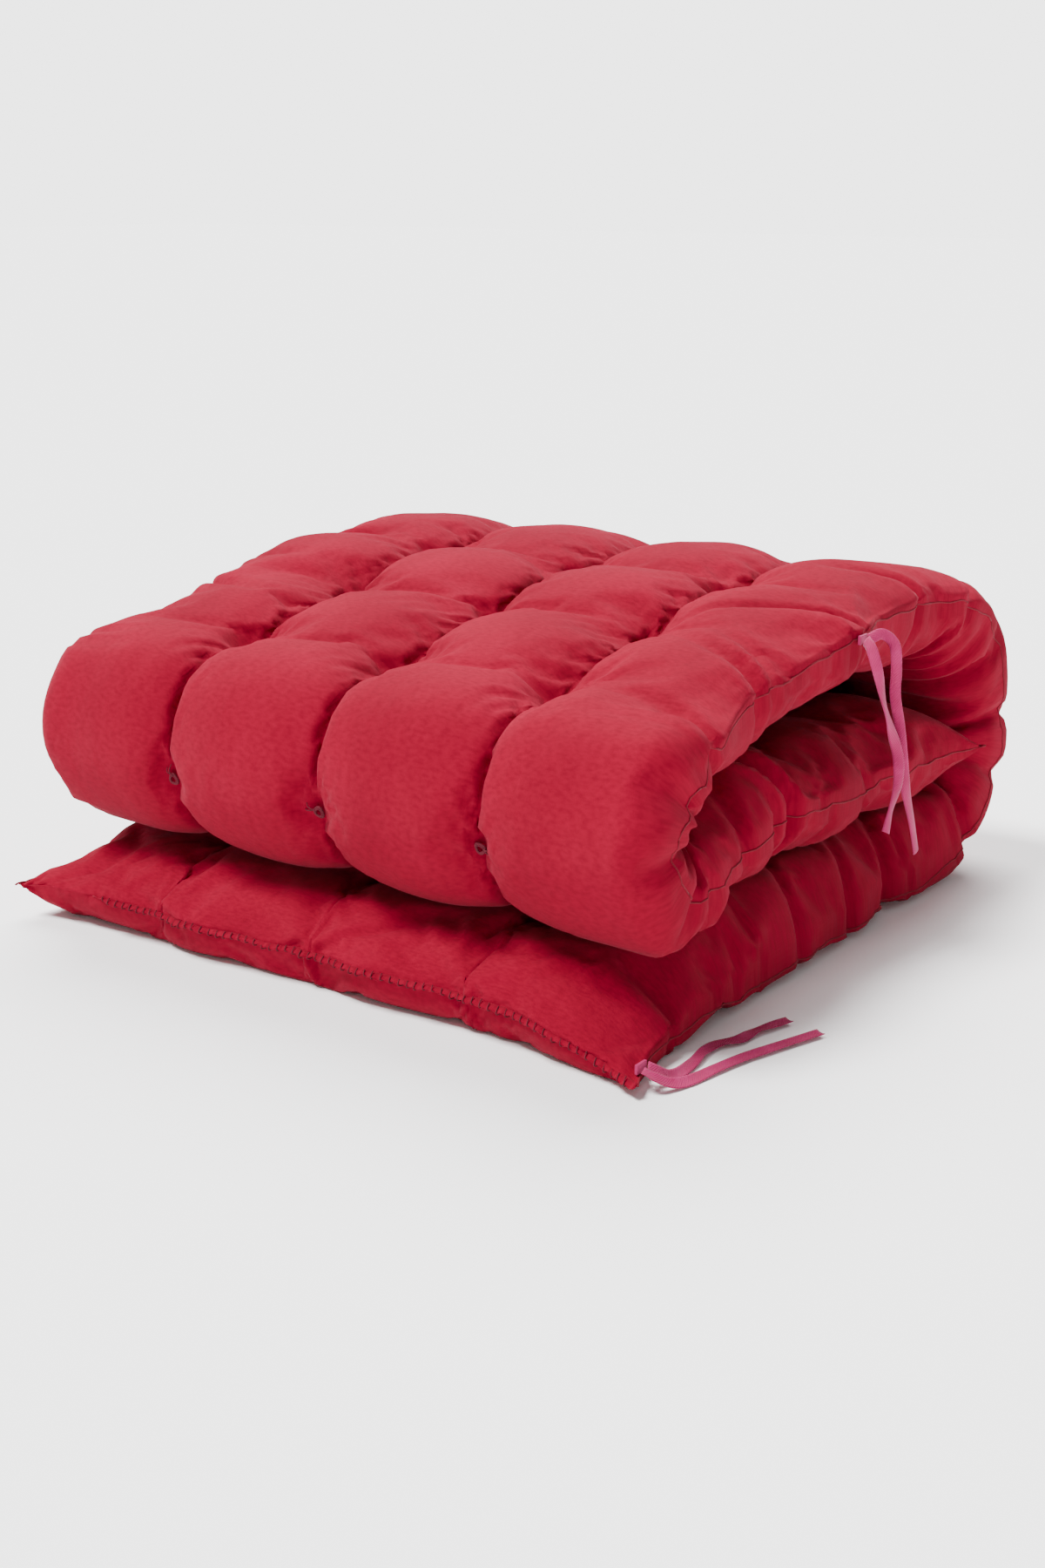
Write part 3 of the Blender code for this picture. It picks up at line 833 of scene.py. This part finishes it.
def add_tie_tail(name, body, route, turns, material):
    """A flat tape along its route, turning about itself, slightly cupped."""
    path = smooth_route(route, TAPE_STEP)
    count = len(path)
    tangents = np.gradient(path, axis=0)
    tangents /= np.linalg.norm(tangents, axis=1, keepdims=True)
    hanging = body == "top"
    flat = np.array((0.0, 1.0, 0.0) if hanging else (1.0, 0.0, 0.0))
    share = np.linspace(0, 1, count)
    turn = np.radians(np.interp(share, np.linspace(0, 1, len(turns)), turns))
    turn = np.convolve(np.pad(turn, 4, "edge"), np.ones(9) / 9, "valid")
    wide = flat - tangents * (tangents @ flat)[:, None]
    wide /= np.linalg.norm(wide, axis=1, keepdims=True)
    deep = np.cross(tangents, wide)
    side = wide * np.cos(turn)[:, None] + deep * np.sin(turn)[:, None]
    face = np.cross(tangents, side)
    columns = np.linspace(-0.5, 0.5, 7)
    points, uv = [], []
    for layer in (0.5, -0.5):
        for column in columns:
            cup = TAPE_CUP * (1 - (2 * column) ** 2)
            points.append(path + side * column * TAPE_WIDTH + face * (layer * TAPE_THICKNESS + cup))
            uv.append(np.stack([share * count * TAPE_STEP, np.full(count, column * TAPE_WIDTH)], -1))
    points = np.stack(points, 1)
    if not hanging:
        points[..., 2] = np.maximum(points[..., 2], 0.0004)
    rings = 2 * len(columns)
    order = [*range(len(columns)), *range(rings - 1, len(columns) - 1, -1)]
    faces = []
    for i in range(count - 1):
        for k in range(rings):
            a, b = order[k], order[(k + 1) % rings]
            faces.append((i * rings + a, (i + 1) * rings + a, (i + 1) * rings + b, i * rings + b))
    faces.append(tuple(order))
    faces.append(tuple((count - 1) * rings + k for k in reversed(order)))
    piece = mesh_object(name + "_tape", points.reshape(-1, 3), faces, material,
                        np.stack(uv, 1).reshape(-1, 2))
    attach(piece, body)
    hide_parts(name)
    length = float(np.linalg.norm(np.diff(path, axis=0), axis=1).sum())
    return piece, path, round(length, 3)


def add_ties():
    """Both ties. Each tack keeps its CAD shape, and takes the tape's material."""
    material = tape_material()
    for name, (body, route, turns) in TIE_TAILS.items():
        piece, path, length = add_tie_tail(name, body, route, turns, material)
        carried = []
        if name in TIE_TACKS:
            carried = [frame["nodes"][TIE_TACKS[name]]]
            carried[0].data.materials.clear()
            carried[0].data.materials.append(material)


def settle_zone(piece):
    """Bake a piece's placement into its points, from one body's middle to the next one's."""
    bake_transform(piece)


def zone_rows(zone):
    """The first and the last row of points of a zone."""
    low = int(np.argmin(np.abs(S_AXIS - CUTS[zone])))
    high = int(np.argmin(np.abs(S_AXIS - CUTS[zone + 1])))
    return low, high


def zone_name(kind, zone):
    return f"{kind}_{BODIES[zone]}_to_{BODIES[zone + 1]}"


def body_nodes(bodies, kinds):
    """The CAD nodes of the given kinds on some bodies."""
    starts = tuple(f"{body}_{kind}" for body in bodies for kind in kinds)
    return [node for node in frame["nodes"] if node.startswith(starts)]


def add_cover(grids, material):
    """The cover, as one piece for each zone between the middles of two bodies."""
    s, x, outside, inside = grids
    points = np.concatenate([outside.reshape(-1, 3), inside.reshape(-1, 3)])
    normals = np.concatenate([grid_normals(outside, -1).reshape(-1, 3),
                              grid_normals(inside, 1).reshape(-1, 3)])
    uv = np.stack([s, x], -1).reshape(-1, 2)
    uv = np.concatenate([uv, uv + (0.0, 1.0)])
    quad_row = np.tile(np.repeat(np.arange(ROWS - 1), COLUMNS - 1), 2)
    quad_side = np.repeat([0, 1], (ROWS - 1) * (COLUMNS - 1))
    # the inside's own points on the rim, for shading and cloth coordinates
    own = QUADS.copy()
    grid = np.arange(ROWS * COLUMNS).reshape(ROWS, COLUMNS) + ROWS * COLUMNS
    own[quad_side == 1] = np.stack(grid_corners(grid), -1).reshape(-1, 4)
    for zone in range(len(FOLDS)):
        low, high = zone_rows(zone)
        chosen = (quad_row >= low) & (quad_row < high)
        used, quads = np.unique(QUADS[chosen], return_inverse=True)
        piece = mesh_object(zone_name("cover", zone), points[used], quads.reshape(-1, 4).tolist(),
                            material)
        corner = own[chosen].ravel()
        layer = piece.data.uv_layers.new(name="cloth")
        layer.data.foreach_set("uv", uv[corner].astype(np.float32).ravel())
        piece.data.normals_split_custom_set([tuple(normal) for normal in normals[corner]])
        settle_zone(piece)
        covered = BODIES[zone + 1:zone + 2] if zone else BODIES[:2]
        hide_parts(*body_nodes(covered, ("cover", "batting")))


# The bodies whose CAD tufts each zone's threads stand in for
TUFTED_BODIES = {0: ("back_1",), 2: ("back_2",), 3: ("top",), 6: ("front_2",)}


def tuft_parts(place, normal, along, rng):
    """A dark ring of thread pressed into the cloth, its knot and two short ends."""
    across = np.cross(normal, along)
    turn = rng.uniform(0, 6.3)
    angles = turn + np.arange(18) * 2 * math.pi / 18
    wobble = 1 + 0.10 * np.cos(3 * angles + turn)
    ring = (place + normal * 0.0016 + TUFT_RADIUS * wobble[:, None]
            * (np.cos(angles)[:, None] * along + np.sin(angles)[:, None] * across))
    parts = [tube_mesh(ring, 0.0011, 7, closed=True)]
    inner = place + normal * 0.0022 + (ring - place - normal * 0.0016) * 0.72
    parts.append(tube_mesh(inner, 0.0008, 7, closed=True))
    root = ring[0] + normal * 0.0008
    for spread in (-0.35, 0.45):
        angle = turn + spread
        out = np.cos(angle) * along + np.sin(angle) * across
        t = np.linspace(0, 1, 9)[:, None]
        length = rng.uniform(0.007, 0.012)
        tail = root + out * length * t + normal * (0.003 * np.sin(math.pi * t) - 0.0012 * t)
        parts.append(tube_mesh(tail, np.linspace(0.0007, 0.0004, 9), 6))
    t = np.linspace(0, 1, 7)[:, None]
    knot = root + (np.cos(turn) * across - np.sin(turn) * along) * 0.002 * (2 * t - 1)
    parts.append(tube_mesh(knot, 0.0012 * np.sin(math.pi * np.linspace(0.12, 0.88, 7)), 7))
    return parts


def add_tufts(grids, material):
    """The tufting threads of both faces, one piece for each zone."""
    s, x, outside, inside = grids
    rng = np.random.default_rng(17)
    for zone in range(len(FOLDS)):
        parts = []
        for row in TUFT_ROWS:
            if not CUTS[zone] <= row < CUTS[zone + 1]:
                continue
            i = int(np.argmin(np.abs(S_AXIS - row)))
            for column in TUFT_COLUMNS:
                j = int(np.argmin(np.abs(X_AXIS - column)))
                for grid, side in ((outside, -1), (inside, 1)):
                    flat = grid[i + 2, j] - grid[i - 2, j]
                    flat /= np.linalg.norm(flat)
                    normal = np.cross(np.array([1.0, 0, 0]), flat) * side
                    near = grid[i - 1:i + 2, j - 1:j + 2].reshape(-1, 3).mean(0)
                    parts += tuft_parts(near + normal * 0.004, normal, flat, rng)
        if not parts:
            continue
        piece = mesh_object(zone_name("tufts", zone), *join_parts(parts), material)
        settle_zone(piece)
        nodes = body_nodes(TUFTED_BODIES.get(zone, ()), ("tuft",))
        if nodes:
            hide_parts(*nodes)


def add_seams(grids, material):
    """The side seams as a fine sunken thread line, one piece for each zone."""
    outside = grids[2]
    for zone in range(len(FOLDS)):
        low, high = zone_rows(zone)
        runs = [outside[low:high + 1, 0], outside[low:high + 1, -1]]
        if high == ROWS - 1:
            runs.append(outside[-1])
        parts = [tube_mesh(run, 0.0009, 6) for run in runs]
        piece = mesh_object(zone_name("seam", zone), *join_parts(parts), material)
        settle_zone(piece)


LIP_STEP = 0.0022          # spacing of the closure's points along the edge
# The lip's outline, as shares of its reach out from the edge and of its half thickness
LIP_OUTLINE = ((-0.35, 0.9), (0.55, 1.0), (1.0, 0.55), (1.0, -0.55), (0.55, -1.0), (-0.35, -0.9))


def add_closure(grids, cotton, thread):
    """The hand-sewn front edge: a narrow wavy lip of cloth with slanted overcast stitches."""
    rim = grids[2][0]
    keep = rim[:, 0] > LIP_START
    travelled = np.concatenate([[0], np.cumsum(np.linalg.norm(np.diff(rim[keep], axis=0), axis=1))])
    even = np.arange(0, travelled[-1], LIP_STEP)
    path = np.stack([np.interp(even, travelled, rim[keep][:, k]) for k in range(3)], -1)
    count = len(path)
    grow = smooth_step(even, 0.0, 0.03)
    width = (0.0045 + 0.0012 * noise_1d(even / 0.011, 81)) * grow + 0.0008
    sway = 0.0011 * np.sin(2 * math.pi * even / 0.0105) + 0.0010 * noise_1d(even / 0.017, 82)
    out = np.array([0.0, -0.94, -0.34])
    up = np.array([0.0, -0.34, 0.94])
    rings = []
    for reach, lift in LIP_OUTLINE:
        rings.append(path + out * (width * reach)[:, None]
                     + up * (sway * max(reach, 0) + 0.0010 * lift)[:, None])
    points = np.stack(rings, 1)
    points[..., 2] = np.maximum(points[..., 2], 0.0006)
    sides = len(LIP_OUTLINE)
    faces = []
    for i in range(count - 1):
        for k in range(sides):
            m = (k + 1) % sides
            faces.append((i * sides + k, i * sides + m, (i + 1) * sides + m, (i + 1) * sides + k))
    faces += [tuple(range(sides))[::-1], tuple((count - 1) * sides + k for k in range(sides))]
    uv = np.stack([np.repeat(even, sides), np.tile(np.linspace(0, 0.012, sides), count)], -1)
    lip = mesh_object("closure_lip", points.reshape(-1, 3), faces, cotton, uv)
    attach(lip, "base")

    stitches = []
    for start in range(6, count - 6, 4):
        low, high = path[start], path[start + 2]
        t = np.linspace(0, 1, 9)[:, None]
        reach = float(width[start + 1])
        arc = low * (1 - t) + high * t + out * (reach * 1.2 * np.sin(math.pi * t))
        arc = arc + up * (0.0019 * np.cos(math.pi * t)) + up * float(sway[start + 1])
        stitches.append(tube_mesh(arc, 0.0005, 6))
    sewing = mesh_object("closure_stitches", *join_parts(stitches), thread)
    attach(sewing, "base")


def main():
    add_camera()
    add_ties()
    add_studio()
    cotton = red_cotton()
    thread = thread_material("dark_thread", (0.060, 0.004, 0.010), (0.130, 0.010, 0.022))
    seam = thread_material("seam_thread", (0.120, 0.004, 0.012), (0.190, 0.008, 0.020))
    grids = pad_grids()
    add_cover(grids, cotton)
    add_tufts(grids, thread)
    add_seams(grids, seam)
    add_closure(grids, cotton, thread)


main()
